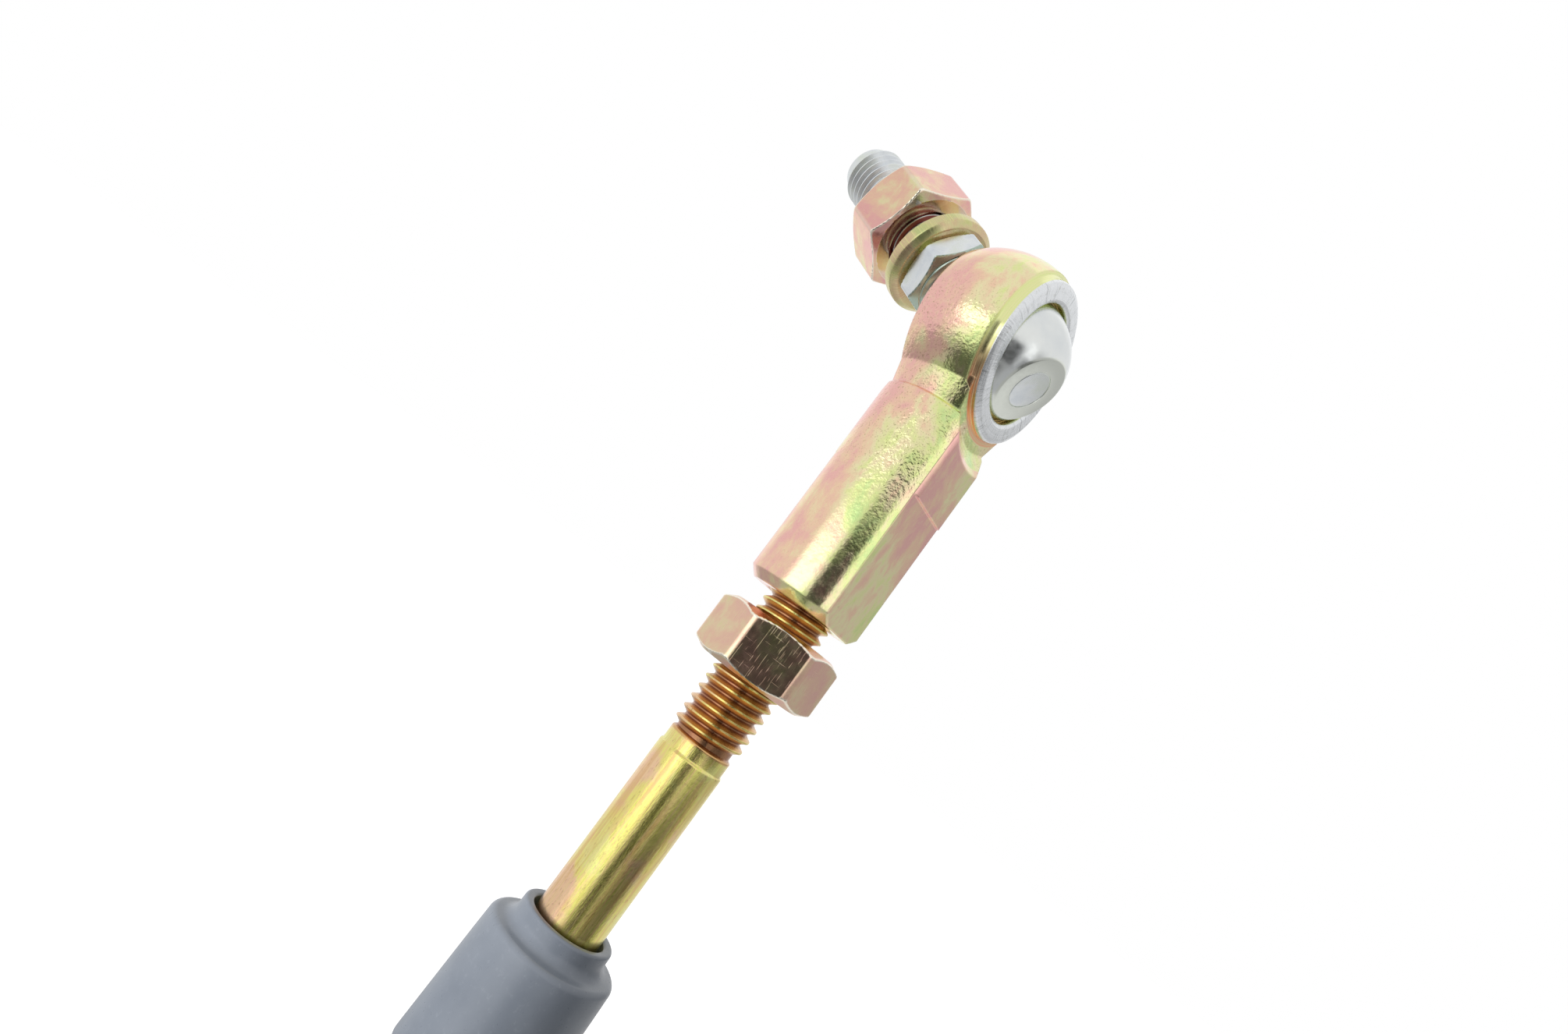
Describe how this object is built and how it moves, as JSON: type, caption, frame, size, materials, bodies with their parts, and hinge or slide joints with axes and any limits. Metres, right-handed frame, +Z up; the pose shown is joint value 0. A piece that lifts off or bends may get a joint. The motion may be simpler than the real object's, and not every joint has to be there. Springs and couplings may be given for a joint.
{
  "type": "ball stud rod end",
  "caption": "Rod end with a swaged-in ball stud, locked by a jam nut on the sliding output rod of a push-pull control, with its dust cap and support tube.",
  "frame": {"origin": "centre of the ball", "axes": "+Z up the rod axis from the support tube to the head, -Y out of the swaged lip, +Y the stud's side"},
  "size_m": [0.0212, 0.041, 0.1516],
  "materials": {
    "zinc_yellow": "yellow chromate zinc plate, iridescent, with a bare silver swaged lip",
    "zinc_yellow_hardware": "yellow chromate zinc plate, pink and green iridescence",
    "zinc_yellow_rod": "yellow chromate zinc plate, drawn lengthwise",
    "zinc_clear": "clear zinc plate, satin",
    "race_bronze": "turned bronze",
    "cap_rubber": "moulded grey rubber, semi-matt",
    "seal_rubber": "matt black rubber",
    "white_plastic": "natural low-friction plastic",
    "tube_steel": "drawn and plated steel tube"
  },
  "bodies": {
    "tube": {"support_tube": "tube_steel", "dust_cap": "cap_rubber", "wiper_seal": "seal_rubber", "guide_bush": "white_plastic"},
    "rod": {"control_rod": "zinc_yellow_rod", "stop_collar": "tube_steel", "glide_ring": "white_plastic"},
    "jam_nut": {"jam_nut": "zinc_yellow_hardware"},
    "housing": {"housing": "zinc_yellow"},
    "race": {"front_race": "race_bronze", "rear_race": "race_bronze"},
    "ball": {"ball": "zinc_clear"},
    "stud": {"ball_stud": "zinc_clear"},
    "washer": {"lock_washer": "zinc_yellow_hardware"},
    "stud_nut": {"stud_nut": "zinc_yellow_hardware"}
  },
  "joints": [
    {"name": "rod_slide", "type": "slide", "parent": "tube", "child": "rod", "axis": [0, 0, 1], "range_m": [-0.02, 0.018]},
    {"name": "jam_nut_turn", "type": "hinge", "parent": "rod", "child": "jam_nut", "pos_m": [0, 0.0015, -0.04125], "axis": [0, 0, 1], "range_deg": [-720, 720]},
    {"name": "housing_turn", "type": "hinge", "parent": "rod", "child": "housing", "pos_m": [0, 0.0015, -0.028], "axis": [0, 0, 1], "range_deg": [-180, 180]},
    {"name": "race_turn", "type": "hinge", "parent": "housing", "child": "race", "pos_m": [0, 0, 0], "axis": [0, 1, 0], "continuous": true},
    {"name": "stud_tilt", "type": "hinge", "parent": "race", "child": "ball", "pos_m": [0, 0, 0], "axis": [0.9925, 0, -0.1219], "range_deg": [-54, 1]},
    {"name": "stud_spin", "type": "hinge", "parent": "ball", "child": "stud", "pos_m": [0, 0, 0], "axis": [0.0553, 0.891, 0.4506], "continuous": true},
    {"name": "washer_slide", "type": "slide", "parent": "stud", "child": "washer", "axis": [0.0553, 0.891, 0.4506], "range_m": [0, 0.0087]},
    {"name": "stud_nut_turn", "type": "hinge", "parent": "washer", "child": "stud_nut", "pos_m": [0.0013, 0.02098, 0.01061], "axis": [0.0553, 0.891, 0.4506], "range_deg": [0, 3140]}
  ],
  "couplings": [
    {"joint": "stud_nut_turn", "follows": "washer_slide", "rad_per_m": 6283.2}
  ]
}
